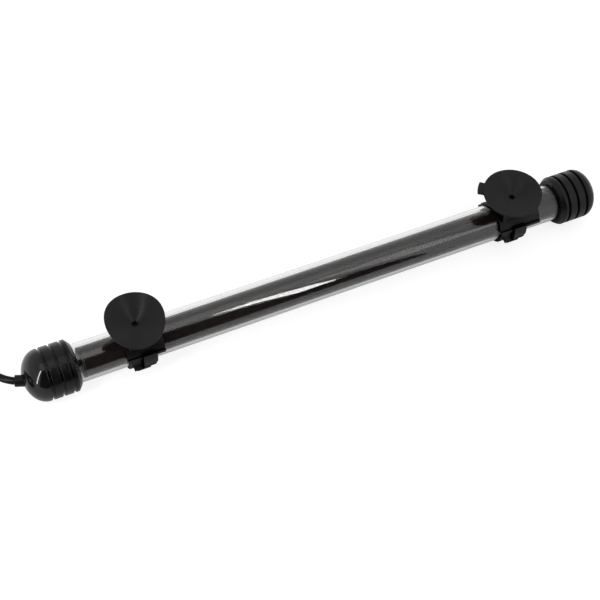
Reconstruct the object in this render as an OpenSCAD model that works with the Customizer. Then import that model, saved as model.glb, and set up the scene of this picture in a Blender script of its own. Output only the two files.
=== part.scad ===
// Submersible aquarium heater: a clear glass tube with a dark inner sleeve, two capped ends,
// a mains lead with its plug, and two sliding tube clips that each carry a suction cup.
// Millimetres, +Z up, X along the tube with the lead at -X. The caps rest on z = 0.

/* [Tube] */
// Outside diameter of the clear glass tube
tube_d = 28; // [24:0.5:30]
// Wall of the glass tube
tube_wall = 1.6; // [1.2:0.1:2]
// Length of the glass tube
tube_len = 422; // [360:1:520]

/* [Caps] */
// Outside diameter of both end caps
cap_d = 38; // [37:0.5:46]
// Length of the cylindrical part of a cap, from its mouth to its dome
cap_band = 23.4; // [23.4:0.1:32]
// Height of the dome on the lead's end
cable_dome = 14.4; // [12:0.1:18]
// Height of the dome on the closed end
closed_dome = 11.6; // [8:0.1:18]
// How far the tube reaches into a cap
cap_seat = 16; // [14:0.5:17]
// Outside diameter of a cap at its chamfered mouth
cap_mouth_d = 31; // [30.5:0.5:35]
// Length of the chamfer at a cap's mouth
cap_chamfer = 3; // [1:0.5:4]
// Distance from the mouth to the middle of the first grip groove
groove_first = 6.2; // [5.5:0.1:7]
// Distance from groove to groove
groove_pitch = 7.8; // [7:0.1:8]
// Number of grip grooves round a cap
groove_count = 3; // [1:1:3]
// Width of a grip groove
groove_w = 2; // [1:0.1:2.4]
// Depth of a grip groove
groove_depth = 1.6; // [0.6:0.1:1.8]
// Diameter of the dry room behind the tube in a cap
cap_room_d = 22; // [18:0.5:25]
// Length of that dry room
cap_room = 9; // [7:0.5:10]

/* [Seals] */
// Thickness of an O-ring
o_ring_d = 2.4; // [1.8:0.1:2.6]
// Length of a bung inside the tube
bung_len = 9; // [5:0.5:11]
// Thickness of a bung's flange on the tube's end
bung_flange = 2; // [1:0.5:3]

/* [Sleeve] */
// Outside diameter of the dark inner sleeve
sleeve_d = 22; // [20.5:0.5:23]
// Wall of the inner sleeve
sleeve_wall = 0.8; // [0.5:0.1:1.2]
// Clear gap from the lead cap's mouth to the sleeve's end
sleeve_gap = 3.5; // [1:0.5:8]
// How far the sleeve's other end hides in the closed cap
sleeve_hidden = 3.5; // [2:0.5:5]
// Thickness of the flange on a sleeve plug
plug_flange = 1.5; // [1:0.1:2.5]
// Length of a sleeve plug inside the sleeve
spigot_len = 6; // [5:0.5:9]
// Diameter of the stem that carries the sleeve across the gap
stem_d = 5; // [4.8:0.1:7]
// Diameter of the wire passage in the stem
stem_bore_d = 3.8; // [3.6:0.1:4.2]

/* [Element] */
// Diameter of the ceramic core
core_d = 10; // [8:0.5:12]
// Diameter of the passage in the core
core_bore_d = 4.4; // [4:0.1:5]
// Number of flutes along the core
flute_count = 6; // [4:1:10]
// Diameter of a flute
flute_d = 1.6; // [1:0.1:2]
// Thickness of a ceramic spacer
spacer_t = 8; // [7:0.5:12]
// Depth of the core's seat in a spacer
core_seat = 3; // [2:0.5:3.5]
// Turns of the heating coil
coil_turns = 22; // [8:1:24]
// Thickness of the heating wire
coil_wire_d = 1; // [0.6:0.1:1.4]
// Free length of the core at each end of the coil
coil_margin = 12; // [8:1:30]
// Room for the end link behind the closed spacer
link_room = 9; // [8:0.5:14]
// Thickness of the end link along the tube
link_t = 4; // [2:0.5:5]

/* [Thermostat] */
// Distance between the sleeve plug and the first spacer
thermo_room = 43; // [40:1:60]
// Width of the base plate
base_w = 14; // [13.6:0.1:16]
// Thickness of the base plate
base_t = 1.5; // [1:0.1:2]
// Height of the tube's axis over the base plate
base_drop = 1.5; // [1.45:0.05:2]
// Length of the base plate's tab in each slot
base_tab = 3; // [2:0.5:3.5]
// Width of the bimetal blade
blade_w = 4; // [3:0.1:4.4]
// Thickness of the bimetal blade
blade_t = 0.4; // [0.3:0.1:0.8]
// Length of the bimetal blade
blade_len = 31; // [24:0.5:32]
// Length of the blade's foot
foot_len = 6; // [4:0.5:8]
// Diameter of the contacts
contact_d = 2.4; // [1.6:0.1:2.8]
// Thickness of the contact strip
strip_t = 0.5; // [0.3:0.1:0.8]
// Diameter of the thermal fuse
fuse_d = 2.8; // [2.2:0.1:2.8]
// Length of the thermal fuse
fuse_len = 10; // [6:0.5:14]
// Thickness of the insulated wires
wire_d = 1.1; // [0.8:0.1:1.2]

/* [Clips] */
// Distance from a cap's mouth to the middle of its suction cup
clip_from_mouth = 44; // [36:0.5:90]
// Wall of the saddle and of the jaw
clip_wall = 2.05; // [1.6:0.05:2.6]
// Room between the clips and the tube
clip_gap = 0.15; // [0.1:0.05:0.3]
// Length of both saddles towards the lead
saddle_back = 10.5; // [9.5:0.5:14]
// Length of the left saddle away from the lead
left_saddle_front = 17.5; // [12:0.5:26]
// Length of the right saddle away from the lead
right_saddle_front = 24; // [12:0.5:26]
// Half width of the pad under the cup, at its top
pad_half_w = 8.5; // [7.5:0.1:10]
// Height of the pad's top over the tube's axis
pad_top = 21.5; // [21.5:0.1:24]
// Length of the jaw towards the lead
jaw_back = 8.5; // [8:0.1:9.5]
// Length of the jaw away from the lead
jaw_front = 10.5; // [10:0.1:12]
// Diameter of the hinge pins
hinge_pin_d = 2.4; // [1.8:0.1:2.6]
// Diameter of the hinge knuckles
knuckle_d = 4.8; // [4.4:0.1:5.2]
// Distance from the tube's axis to a hinge pin
hinge_reach = 18.2; // [18.2:0.1:20]
// Length of the jaw's knuckle towards the lead
jaw_knuckle_back = 2.9; // [2:0.1:4]
// Length of the jaw's knuckle away from the lead
jaw_knuckle_front = 4.9; // [3:0.1:6]
// Distance from the tube's axis to the tip of the finger lip
lip_reach = 19.8; // [19:0.1:21]
// Thickness of the latch hook
hook_t = 2.2; // [1.5:0.1:2.6]

/* [Suction cups] */
// Diameter of a cup's rim
cup_d = 44; // [36:0.1:50]
// Height of a cup's rim over the tube's axis
cup_rise = 34.75; // [34:0.05:38]
// Depth of the hollow
cup_depth = 6.25; // [5:0.05:7]
// Width of the flat land at the rim
rim_land = 0.8; // [0.5:0.1:1.5]
// Thickness of the rim's edge
rim_edge = 0.6; // [0.4:0.1:1.2]
// Diameter of the blind hole in the middle
cup_hole_d = 4.4; // [3:0.1:5]
// Depth of the blind hole
cup_hole_depth = 4.5; // [2:0.1:5]
// Diameter of the hub under a cup
hub_d = 13; // [11:0.5:15]
// Diameter of the neck that turns in the slot
neck_d = 6.9; // [5:0.1:8]
// Diameter of the button head in the slot
head_d = 10.8; // [9:0.1:11.2]
// Thickness of the button head
head_t = 2.2; // [1.6:0.1:2.4]
// How far the right cup stands out from the end of its slot
right_cup_out = 1.3; // [0:0.1:2]
// Reach of the pull tab from a cup's axis
tab_reach = 26.8; // [24:0.1:30]
// Width of the pull tab
tab_w = 10; // [6:0.5:12]
// Thickness of the pull tab
tab_t = 2.8; // [1.5:0.1:3]

/* [Lead and plug] */
// Diameter of the lead
cord_d = 5.4; // [4.8:0.1:5.6]
// Diameter of the gland's collar
collar_d = 8.3; // [7.5:0.1:10]
// Diameter of the gland's neck in the dome
gland_neck_d = 5.2; // [4:0.1:6]
// Diameter of the gland's flange in the dry room
gland_flange_d = 13; // [9:0.5:16]
// Thickness of that flange
gland_flange = 3; // [1.5:0.5:4]
// Distance from one loop of the hank to the next
hank_step = 6.2; // [6:0.1:6.3]
// How far the hank is drawn in at its waist
hank_waist = 8; // [4:0.5:10]
// Width of the tie's band
tie_w = 8; // [5:0.5:12]
// Thickness of the tie's band
tie_t = 0.8; // [0.4:0.1:0.8]
// Width of the plug
plug_w = 35; // [33:0.5:37]
// Thickness of the plug
plug_t = 13.8; // [12:0.1:14]
// Length of the plug's body
plug_len = 30; // [26:0.5:34]
// Length of the plug's strain relief
relief_len = 16; // [12:0.5:20]
// Diameter of a contact pin
prong_d = 4; // [3.8:0.1:4.8]
// Length of a contact pin outside the plug
prong_len = 19; // [16:0.5:20]
// Length of the thinner, insulated part of a contact pin
prong_neck = 10; // [8:0.5:11]
// Distance between the contact pins
prong_gap = 18.6; // [17:0.1:19.2]

/* [Fits] */
// Radial room of a piece that is pushed into another
fit = 0.05; // [0.02:0.01:0.08]
// Room between pieces that move past each other
free = 0.3; // [0.2:0.05:0.4]

/* [Hidden] */
$fn = 96;

// Places along the tube, from its middle
tube_r = tube_d / 2;
tube_bore = tube_r - tube_wall;
tube_end = tube_len / 2;
mouth = tube_end - cap_seat;
tube_mid = (cable_dome - closed_dome) / 2;
cap_r = cap_d / 2;
axis_z = cap_r;
cable_tip = tube_mid - mouth - cap_band - cable_dome;
shoulder = cap_seat + bung_flange;
room_end = shoulder + cap_room;
o_ring_at = groove_first + groove_pitch / 2;

// Sleeve and what it holds
sleeve_r = sleeve_d / 2;
sleeve_bore = sleeve_r - sleeve_wall;
sleeve_from = -mouth + sleeve_gap + plug_flange;
sleeve_to = mouth + sleeve_hidden - plug_flange;
spigot_in = sleeve_from + spigot_len;
wire_r = wire_d / 2;
wire_y = stem_bore_d / 2 - wire_r - 2 * fit;
base_top = -base_drop;
base_low = base_top - base_t;
spacer_cable_at = spigot_in + thermo_room;
core_from = spacer_cable_at + spacer_t - core_seat;
spacer_closed_at = sleeve_to - spigot_len - link_room - spacer_t;
core_to = spacer_closed_at + core_seat;
coil_wire_r = coil_wire_d / 2;
coil_r = core_d / 2 + 8 * fit + coil_wire_r;
coil_from = spacer_cable_at + spacer_t + coil_margin;
coil_to = spacer_closed_at - coil_margin;
coil_lead = 3;
link_gap = 2;
link_at = spacer_closed_at + spacer_t + link_gap;
foot_gap = 2;
foot_at = spigot_in + foot_gap;
foot_side = wire_y - wire_r - free;
blade_rise = wire_r + free;
contact_at = foot_at + blade_len - contact_d;
contact_y = foot_side + blade_w / 2;
strip_tail = 2.6;
strip_end = contact_at + contact_d + strip_tail;
fuse_gap = 4;
fuse_at = foot_at + fuse_gap;
fuse_y = -wire_y - wire_r / 2;

// Clip angles, measured round the tube from the back over the top to the front
saddle_rear_angle = -13;
saddle_front_angle = 162;
jaw_front_angle = 164.5;
jaw_rear_angle = 341;
hinge_angle = -16;
hook_angle = 184;
hook_root_angle = 12;
lip_angle = 189.5;
lip_angle_low = 193.5;
tongue_angle = 167.5;
fillet_angle = 171.4;
web_angle = 3;
jaw_web_angle = 325;
latch_split = -1;
latch_gap = 1.2;
ledge_t = 1.1;
ledge_angle = 7;
overlap = 0.6;
clip_bore = tube_r + clip_gap;
clip_r = clip_bore + clip_wall;
hinge_pos = hinge_reach * [cos(hinge_angle), sin(hinge_angle)];
hinge_room = knuckle_d / 2 + free;
swing_r = norm(clip_r * [cos(jaw_front_angle), sin(jaw_front_angle)] - hinge_pos) + free;
hook_room = 0.65;
hook_round = 5.5;
hook_out = swing_r - hinge_reach + hook_room + hook_t;
bead_r = 1.3;
bead_proud = 0.5;
web_drop = 0.4;
fillet_r = 6.8;
fillet_dip = 0.25;
pad_back = 8;
pad_front = 9;
pad_foot_angle = 47;
pad_bevel = 1;
slot_skin = 0.4;
slot_floor = clip_r + slot_skin;
slot_roof = slot_floor + head_t + 4 * fit;
clip_place = mouth - clip_from_mouth;
cup_hub_z = pad_top + free;
hollow_z = cup_rise - cup_depth;
tab_angle = 147.5;
tab_top = cup_rise - rim_edge;
tab_root = 2.6;
prong_root = 8;
prong_step = 0.2;
prong_neck_r = prong_d / 2 - prong_step;
clip_black = [0.09, 0.09, 0.095];
cup_black = [0.13, 0.13, 0.135];
pin_steel = [0.7, 0.7, 0.72];

// The lead's route from the gland to the hank, and from the hank to the plug: x from the tip of the
// lead's cap, y from the tube's axis, z over the surface that the heater lies on
lead_route = [[-5, 2.5, 19], [-8, 4.2, 19], [-11, 6.6, 18.8], [-13.5, 9.4, 18.4], [-16, 12.4, 17.7],
  [-19, 15.4, 16.6], [-22.5, 18.2, 15.1], [-26.5, 20.8, 13.1], [-30.5, 23, 10.8], [-34.5, 25, 8.5],
  [-38.5, 26.6, 6.5], [-42.5, 27.9, 5], [-46.5, 28.8, 4.1], [-50.5, 29.3, 3.7], [-54.5, 29.5, 3.6],
  [-58, 29.5, 3.6]];
tail_route = [[-156, 29.5, 9.7], [-158, 29.5, 9.7], [-162, 29, 9.9], [-166.5, 27.2, 10.6], [-170.3, 24.2, 11.8],
  [-173.2, 20.1, 13.4], [-174.7, 15.3, 15.2], [-174.8, 10.2, 16.8], [-173.4, 5.3, 18], [-170.7, 1.1, 18.9],
  [-166.8, -2.1, 19.6], [-162.4, -3.9, 20], [-158, -4.5, 20.2], [-154.5, -4.5, 20.2], [-151, -4.5, 20.2]];
cord_r = cord_d / 2;
cord_sides = 10;
lead_end = lead_route[len(lead_route) - 1];
tail_end = tail_route[len(tail_route) - 1];
gland_pivot = [2, 0, axis_z];
gland_sink = 1.5;
collar_aim = lead_route[0] - gland_pivot;

// The hank: runs and folds that spiral in on the lower layer, climb along one run, and spiral out on top
hank_runs = 9;
hank_climb = (hank_runs - 1) / 2;
hank_straight = 6;
hank_mid = (hank_runs - 1) / 4 + 1 / 8;
hank_in = lead_end[1] - hank_step * hank_mid;
hank_near = lead_end[0] - hank_straight;
hank_far = tail_route[0][0] + hank_straight;
hank_lift = tail_route[0][2] - lead_end[2];
run_rings = 6;
fold_rings = 6;
hank_sides = 6;
tie_at = (hank_near + hank_far) / 2;
tie_room = 0.8;

function unit(v) = v / norm(v);
function polar(r, a) = r * [cos(a), sin(a)];
function ease(s) = s * s * (3 - 2 * s);
function spiral_r(t) = hank_in + hank_step * abs(t - hank_mid);
function layer_z(k, s) = lead_end[2] + hank_lift * (k < hank_climb ? 0 : k > hank_climb ? 1 : ease(s));
function run_side(k) = k % 2 == 0 ? 1 : -1;
function run_point(k, s) = [
  run_side(k) > 0 ? hank_near + (hank_far - hank_near) * s : hank_far + (hank_near - hank_far) * s,
  run_side(k) * (spiral_r(k / 2 + s / 4) - hank_waist * pow(sin(180 * s), 2)),
  layer_z(k, s)];
function fold_point(k, s) = let (
    r = spiral_r(k / 2 + 1 / 4 + s / 4),
    a = run_side(k) * 90 + 180 * s)
  [(run_side(k) > 0 ? hank_far : hank_near) + r * cos(a), r * sin(a), layer_z(k, 1)];
hank_path = concat(
  [lead_end],
  [for (k = [0:hank_runs - 1]) each concat(
    [for (i = [0:run_rings]) run_point(k, i / run_rings)],
    k < hank_runs - 1 ? [for (i = [1:fold_rings - 1]) fold_point(k, i / fold_rings)] : [])],
  [tail_route[0]]);

// The heating coil: a straight end, open turns round the core, and a straight end
coil_rings = 8;
coil_sides = 6;
coil_path = concat(
  [[strip_end, coil_r, 0], [coil_from - coil_margin, coil_r, 0], [coil_from - coil_lead, coil_r, 0]],
  [for (i = [0:coil_turns * coil_rings]) let (a = 360 * i / coil_rings)
    [coil_from + (coil_to - coil_from) * i / (coil_turns * coil_rings), coil_r * cos(a), coil_r * sin(a)]],
  [[coil_to + coil_lead, coil_r, 0], [coil_to + coil_margin, coil_r, 0], [link_at + link_t, coil_r, 0]]);

// Length of a path, and the least gap between parts of a tube along it that lie apart on the way
function path_len(p, i = 0) = i >= len(p) - 1 ? 0 : norm(p[i + 1] - p[i]) + path_len(p, i + 1);
function to_segment(p, a, b) = let (v = b - a, t = max(0, min(1, (p - a) * v / (v * v)))) norm(p - a - t * v);
function least_gap(p, d, apart) = min([for (i = [0:len(p) - 1], j = [0:len(p) - 2])
  if (abs(i - j) > apart && abs(i - j - 1) > apart) to_segment(p[i], p[j], p[j + 1])]) - d;
echo(hank_gap = least_gap(hank_path, cord_d, 4), coil_gap = least_gap(coil_path, coil_wire_d, 4));
echo(cord_length = path_len(lead_route) + path_len(hank_path) + path_len(tail_route));

// A round tube along a path: one ring of points per point of the path, held square to its direction
function heading(p, i) = unit(p[min(i + 1, len(p) - 1)] - p[max(i - 1, 0)]);
function ring(p, t, up, r, n) = let (s = unit(cross(t, up)), w = cross(s, t))
  [for (k = [0:n - 1]) p + r * (cos(360 * k / n) * s + sin(360 * k / n) * w)];
module swept_tube(path, ups, r, n, first, last) {
  m = len(path) - 1;
  points = [for (i = [0:m]) each
    ring(path[i], i == 0 ? first : i == m ? last : heading(path, i), ups[i], r, n)];
  sides = [for (i = [0:m - 1], k = [0:n - 1]) let (a = i * n + k, b = i * n + (k + 1) % n)
    each [[a, b, b + n], [a, b + n, a + n]]];
  ends = [for (k = [1:n - 2]) each [[0, k + 1, k], [m * n, m * n + k, m * n + k + 1]]];
  polyhedron(points = points, faces = concat(sides, ends), convexity = 10);
}

// Solids along the tube's axis, at places measured from the tube's middle
module rod(from, to, r, y = 0, z = 0) {
  translate([tube_mid + from, y, axis_z + z]) rotate([0, 90, 0]) cylinder(h = to - from, r = r);
}
module pipe(from, to, r_out, r_in) {
  difference() {
    rod(from, to, r_out);
    rod(from - 1, to + 1, r_in);
  }
}
module block(from, to, y0, y1, z0, z1) {
  translate([tube_mid + from, y0, axis_z + z0]) cube([to - from, y1 - y0, z1 - z0]);
}
// A revolved piece whose local +Z points out of the tube at one of its ends
module at_end(place, side) {
  translate([tube_mid + side * place, 0, axis_z]) rotate([0, side * 90, 0]) children();
}

module glass_tube() {
  color([0.85, 0.9, 0.92, 0.35]) pipe(-tube_end, tube_end, tube_r, tube_bore);
}

// Revolved body of a cap: chamfered mouth, grip grooves, domed end, tube seat with an O-ring groove, dry room
module cap_body(dome) {
  seat_r = tube_r + fit;
  o_ring_half = o_ring_d / 2 + free / 2;
  o_ring_r = tube_r + o_ring_d + free / 2;
  grooves = [for (i = [0:groove_count - 1]) let (g = groove_first + i * groove_pitch) each [
    [cap_r, g - groove_w / 2], [cap_r - groove_depth, g - groove_w / 2],
    [cap_r - groove_depth, g + groove_w / 2], [cap_r, g + groove_w / 2]]];
  crown = [for (a = [0:5:90]) [cap_r * cos(a), cap_band + dome * sin(a)]];
  bore = [[0, room_end], [cap_room_d / 2, room_end], [cap_room_d / 2, shoulder], [seat_r, shoulder],
    [seat_r, o_ring_at + o_ring_half], [o_ring_r, o_ring_at + o_ring_half],
    [o_ring_r, o_ring_at - o_ring_half], [seat_r, o_ring_at - o_ring_half], [seat_r, 0]];
  rotate_extrude() polygon(concat([[cap_mouth_d / 2, 0], [cap_r, cap_chamfer]], grooves, crown, bore));
}

module gland_collar(r, length) {
  tilt = acos(collar_aim[2] / norm(collar_aim));
  swing = atan2(collar_aim[1], collar_aim[0]);
  translate(gland_pivot) rotate([0, tilt, swing]) translate([0, 0, -gland_sink])
    cylinder(h = gland_sink + length, r = r);
}
module gland_neck(r, past = 0) {
  translate([gland_pivot[0], 0, axis_z]) rotate([0, 90, 0])
    cylinder(h = cable_dome + cap_band - room_end - gland_pivot[0] + past, r = r);
}

module cable_cap() {
  color([0.05, 0.05, 0.055]) difference() {
    at_end(mouth, -1) cap_body(cable_dome);
    translate([cable_tip, 0, 0]) gland_collar(collar_d / 2 + fit, norm(collar_aim) + 5);
    translate([cable_tip, 0, 0]) gland_neck(gland_neck_d / 2 + fit, 1);
  }
}
module closed_cap() {
  color([0.06, 0.06, 0.065]) at_end(mouth, 1) cap_body(closed_dome);
}

module o_ring(side) {
  color([0.1, 0.1, 0.1]) at_end(mouth + o_ring_at, side) rotate_extrude()
    translate([tube_r + fit / 2 + o_ring_d / 2, 0]) circle(d = o_ring_d);
}
module o_ring_cable() o_ring(-1);
module o_ring_closed() o_ring(1);

module bung(side) {
  color([0.15, 0.15, 0.16]) at_end(tube_end, side) difference() {
    union() {
      translate([0, 0, -bung_len]) cylinder(h = bung_len, r = tube_bore - fit);
      cylinder(h = bung_flange, r = tube_r - 2 * fit);
    }
    translate([0, 0, -bung_len - 1]) cylinder(h = bung_len + bung_flange + 2, d = stem_d + 2 * fit);
  }
}
module bung_cable() bung(-1);
module bung_closed() bung(1);

module inner_sleeve() {
  color([0.12, 0.11, 0.12]) pipe(sleeve_from, sleeve_to, sleeve_r, sleeve_bore);
}

// A plug closes each end of the sleeve; its stem sits in the bung
module sleeve_plug(sleeve_end, side) {
  at_end(sleeve_end, side) {
    translate([0, 0, -spigot_len]) cylinder(h = spigot_len, r = sleeve_bore - fit);
    cylinder(h = plug_flange, r = sleeve_r);
    cylinder(h = tube_end + bung_flange - sleeve_end, d = stem_d);
  }
}
module base_slot(from, to) {
  block(from, to, -base_w / 2 - fit, base_w / 2 + fit, base_low - fit, base_top + fit);
}
module sleeve_plug_cable() {
  color([0.18, 0.17, 0.17]) difference() {
    sleeve_plug(-sleeve_from, -1);
    rod(-tube_end - bung_flange - 1, spigot_in + 1, stem_bore_d / 2);
    base_slot(spigot_in - base_tab, spigot_in + 1);
  }
}
module sleeve_plug_closed() {
  color([0.18, 0.17, 0.17]) sleeve_plug(sleeve_to, 1);
}

module ceramic_core() {
  color([0.9, 0.88, 0.82]) difference() {
    pipe(core_from, core_to, core_d / 2, core_bore_d / 2);
    for (i = [0:flute_count - 1]) {
      p = polar(core_d / 2 + flute_d / 4, 360 * (i + 0.5) / flute_count);
      rod(core_from - 1, core_to + 1, flute_d / 2, p[0], p[1]);
    }
  }
}

module heating_coil() {
  ups = [for (p = coil_path) unit([0, p[1], p[2]])];
  color([0.7, 0.66, 0.6]) translate([tube_mid, 0, axis_z])
    swept_tube(coil_path, ups, coil_wire_r, coil_sides, [1, 0, 0], [1, 0, 0]);
}

// A ceramic disc that centres one end of the core and passes the wires
module core_spacer(at, seat_from) {
  difference() {
    rod(at, at + spacer_t, sleeve_bore - fit);
    rod(seat_from, seat_from + core_seat, core_d / 2 + fit);
    rod(at - 1, at + spacer_t + 1, wire_r + 2 * fit, -wire_y, 0);
    rod(at - 1, at + spacer_t + 1, coil_wire_r + 2 * fit, coil_r, 0);
  }
}
module core_spacer_cable() {
  color([0.93, 0.91, 0.86]) difference() {
    core_spacer(spacer_cable_at, core_from);
    base_slot(spacer_cable_at - 1, spacer_cable_at + base_tab);
  }
}
module core_spacer_closed() {
  color([0.93, 0.91, 0.86]) core_spacer(spacer_closed_at, spacer_closed_at);
}

// The link that joins the far end of the coil to the return wire
module end_link() {
  margin = 1.2;
  color([0.75, 0.6, 0.3]) difference() {
    block(link_at, link_at + link_t, -wire_y - wire_r - margin, coil_r + coil_wire_r + margin, -margin, margin);
    rod(link_at - 1, link_at + link_t + 1, wire_r, -wire_y, 0);
    rod(link_at - 1, link_at + link_t + 1, coil_wire_r, coil_r, 0);
  }
}
module return_wire() {
  color([0.85, 0.8, 0.75]) rod(fuse_at + fuse_len, link_at + link_t, wire_r, -wire_y, 0);
}

module contact_hole() {
  translate([tube_mid + contact_at, contact_y, axis_z + base_low - 1])
    cylinder(h = base_t + strip_t + 2, d = contact_d + 2 * fit);
}
module thermostat_base() {
  color([0.55, 0.42, 0.25]) difference() {
    block(spigot_in - base_tab + fit, spacer_cable_at + base_tab - fit,
      -base_w / 2, base_w / 2, base_low, base_top);
    contact_hole();
  }
}
module bimetal_blade() {
  color([0.72, 0.7, 0.66]) {
    block(foot_at, foot_at + foot_len, foot_side, foot_side + blade_w, base_top, blade_rise);
    block(foot_at, foot_at + blade_len, foot_side, foot_side + blade_w, blade_rise, blade_rise + blade_t);
    translate([tube_mid + contact_at, contact_y, axis_z + 2 * fit])
      cylinder(h = blade_rise - 2 * fit, d = contact_d);
  }
}
module contact_strip() {
  tab = 1;
  color([0.8, 0.62, 0.28]) difference() {
    union() {
      block(contact_at - contact_d, strip_end, foot_side, base_w / 2, base_top, base_top + strip_t);
      block(strip_end - tab, strip_end, coil_r - tab, base_w / 2, base_top, coil_wire_r + free);
    }
    contact_hole();
  }
}
module contact_screw() {
  head = 1.5;
  color([0.78, 0.76, 0.72]) translate([tube_mid + contact_at, contact_y, axis_z]) {
    translate([0, 0, base_low]) cylinder(h = -base_low, d = contact_d);
    translate([0, 0, base_low - head]) cylinder(h = head, d = contact_d + 2);
  }
}
module thermal_fuse() {
  color([0.85, 0.85, 0.88]) rod(fuse_at, fuse_at + fuse_len, fuse_d / 2, fuse_y, 0);
}
module lead_wires() {
  start = -mouth - room_end + gland_flange;
  color([0.6, 0.35, 0.2]) rod(start, foot_at, wire_r, wire_y, 0);
  color([0.2, 0.35, 0.6]) rod(start, fuse_at, wire_r, -wire_y, 0);
}

// The gland grips the lead in the dome: a flange in the dry room, a neck, and a collar aimed along the lead
module cable_gland() {
  color([0.07, 0.07, 0.07]) {
    rod(-mouth - room_end, -mouth - room_end + gland_flange, gland_flange_d / 2);
    translate([cable_tip, 0, 0]) {
      gland_neck(gland_neck_d / 2);
      gland_collar(collar_d / 2, norm(collar_aim));
    }
  }
}

function up_along(path) = [for (p = path) [0, 0, 1]];
module cord_lead() {
  color([0.07, 0.07, 0.07]) translate([cable_tip, 0, 0])
    swept_tube(lead_route, up_along(lead_route), cord_r, cord_sides, unit(collar_aim), [-1, 0, 0]);
}
module cord_hank() {
  color([0.07, 0.07, 0.07]) translate([cable_tip, 0, 0])
    swept_tube(hank_path, up_along(hank_path), cord_r, hank_sides, [-1, 0, 0], [-1, 0, 0]);
}
module cord_tail() {
  color([0.07, 0.07, 0.07]) translate([cable_tip, 0, 0])
    swept_tube(tail_route, up_along(tail_route), cord_r, cord_sides, [-1, 0, 0], [1, 0, 0]);
}

// A box outline with round corners, from its two opposite corners
module round_box(low, high, r) {
  translate(low + [r, 0]) square(high - low - [2 * r, 0]);
  translate(low + [0, r]) square(high - low - [0, 2 * r]);
  for (y = [low[0] + r, high[0] - r], z = [low[1] + r, high[1] - r]) translate([y, z]) circle(r);
}
// Extrudes a cross-section along X, with its two axes along Y and Z
module across(from, to) {
  translate([from, 0, 0]) rotate([90, 0, 90]) linear_extrude(to - from) children();
}
module cord_tie() {
  reach = cord_r + tie_room - hank_waist;
  low = [-spiral_r(5 / 8) - reach, lead_end[2] - cord_r];
  high = [spiral_r(1 / 8) + reach, lead_end[2] + hank_lift + cord_r];
  rim = [tie_t, tie_t];
  color([0.12, 0.12, 0.12]) translate([cable_tip, 0, 0])
    across(tie_at - tie_w / 2, tie_at + tie_w / 2) difference() {
      round_box(low - rim, high + rim, cord_r + tie_t);
      round_box(low, high, cord_r);
    }
}

// Places a piece of the plug with its front face at x = 0 and the pins along +X
module at_plug() {
  translate([cable_tip + tail_end[0] + relief_len + plug_len, tail_end[1], tail_end[2]]) children();
}
module prongs(from, to, r) {
  for (y = [-prong_gap / 2, prong_gap / 2])
    translate([from, y, 0]) rotate([0, 90, 0]) cylinder(h = to - from, r = r);
}
module plug_body() {
  shoulder_x = -10;
  corner = 2;
  rear_half = 6;
  rear_thick = 5;
  half = [plug_w / 2, plug_t / 2];
  plan = [[0, half[0] - corner], [-corner, half[0]], [shoulder_x, half[0]], [-plug_len, rear_half]];
  side = [[0, half[1]], [shoulder_x, half[1]], [-plug_len, rear_thick]];
  both = function (p) concat(p, [for (i = [len(p) - 1:-1:0]) [p[i][0], -p[i][1]]]);
  ribs = 4;
  rib = relief_len / (2 * ribs);
  rib_depth = 0.6;
  root_r = rear_thick - 0.4;
  tip_r = cord_r + 0.7;
  relief_r = function (x) root_r + (tip_r - root_r) * x / relief_len;
  steps = [for (i = [0:ribs - 1]) each [
    [relief_r(2 * i * rib), 2 * i * rib], [relief_r(2 * i * rib), (2 * i + 1) * rib],
    [relief_r(2 * i * rib) - rib_depth, (2 * i + 1) * rib],
    [relief_r(2 * i * rib) - rib_depth, (2 * i + 2) * rib]]];
  color([0.08, 0.08, 0.08]) at_plug() difference() {
    union() {
      intersection() {
        translate([0, 0, -half[1]]) linear_extrude(plug_t) polygon(both(plan));
        translate([0, half[0], 0]) rotate([90, 0, 0]) linear_extrude(plug_w) polygon(both(side));
      }
      translate([-plug_len, 0, 0]) rotate([0, -90, 0])
        rotate_extrude() polygon(concat([[0, -1], [relief_r(0), -1]], steps, [[0, relief_len]]));
    }
    prongs(-prong_root, 1, prong_neck_r + fit);
  }
}
module plug_pins() {
  tip = 0.8;
  color([0.82, 0.82, 0.8]) at_plug() {
    prongs(-prong_root, prong_neck + overlap, prong_neck_r);
    prongs(prong_neck, prong_len - tip, prong_d / 2);
    for (y = [-prong_gap / 2, prong_gap / 2]) translate([prong_len - tip, y, 0]) rotate([0, 90, 0])
      cylinder(h = tip, r1 = prong_d / 2, r2 = prong_d / 2 - tip);
  }
}

// A stretch of ring between two angles
module sector(r_in, r_out, a0, a1) {
  steps = 8;
  far = 2 * cap_d;
  difference() {
    intersection() {
      circle(r_out);
      polygon(concat([[0, 0]], [for (i = [0:steps]) polar(far, a0 + (a1 - a0) * i / steps)]));
    }
    circle(r_in);
  }
}
module at_hinge(r) {
  translate(hinge_pos) circle(r);
}
module at_clip(side) {
  translate([tube_mid + side * clip_place, 0, axis_z]) children();
}

// What is taken off the hook's lower corner away from the lead, to leave it round
module hook_corner() {
  low = hook_out * sin(hook_angle) - bead_r;
  translate([jaw_front - hook_round, 0, low + hook_round]) rotate([90, 0, 0])
    linear_extrude(cap_d) difference() {
      translate([0, -hook_round - 1]) square(hook_round + 1);
      circle(hook_round + fit);
    }
}

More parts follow.
